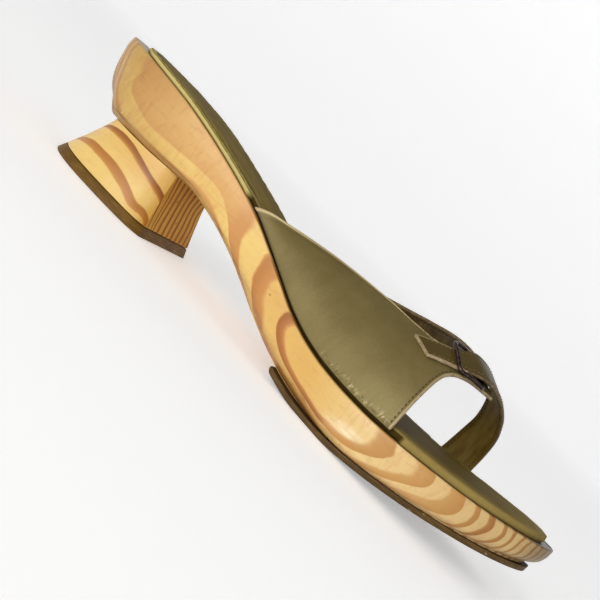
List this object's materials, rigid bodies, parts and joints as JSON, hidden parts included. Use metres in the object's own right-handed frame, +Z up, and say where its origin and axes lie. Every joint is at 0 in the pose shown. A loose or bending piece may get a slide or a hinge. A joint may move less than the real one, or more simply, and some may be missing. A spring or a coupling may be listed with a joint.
{
  "type": "wooden sole sandal",
  "caption": "Heeled slip-on sandal: carved solid wood sole, block heel, leather side panel, joined instep straps and a small wire buckle; open toe and back.",
  "frame": {"origin": "centre of the bounding box, on the floor under the shoe", "axes": "+X towards the toe, along the sole's longest extent; +Y towards the inner (medial) side of this right shoe; +Z up from the floor"},
  "size_m": [0.2492, 0.0806, 0.0578],
  "materials": {
    "wood": "varnished, strongly figured softwood",
    "heel_wood": "varnished, grain running down the block",
    "lift_rubber": "matt dark brown",
    "rubber": "matt dark brown",
    "sock_leather": "padded, olive bronze",
    "panel_leather": "metallic olive bronze, satin",
    "strap_leather": "metallic olive bronze, satin",
    "dark_metal": "dark plated wire"
  },
  "bodies": {
    "root": {"wood_sole": "wood", "heel_block": "heel_wood", "heel_lift": "lift_rubber", "forefoot_outsole": "rubber", "insole": "sock_leather", "vamp_panel": "panel_leather", "instep_straps": "strap_leather", "buckle": "dark_metal"}
  },
  "joints": []
}
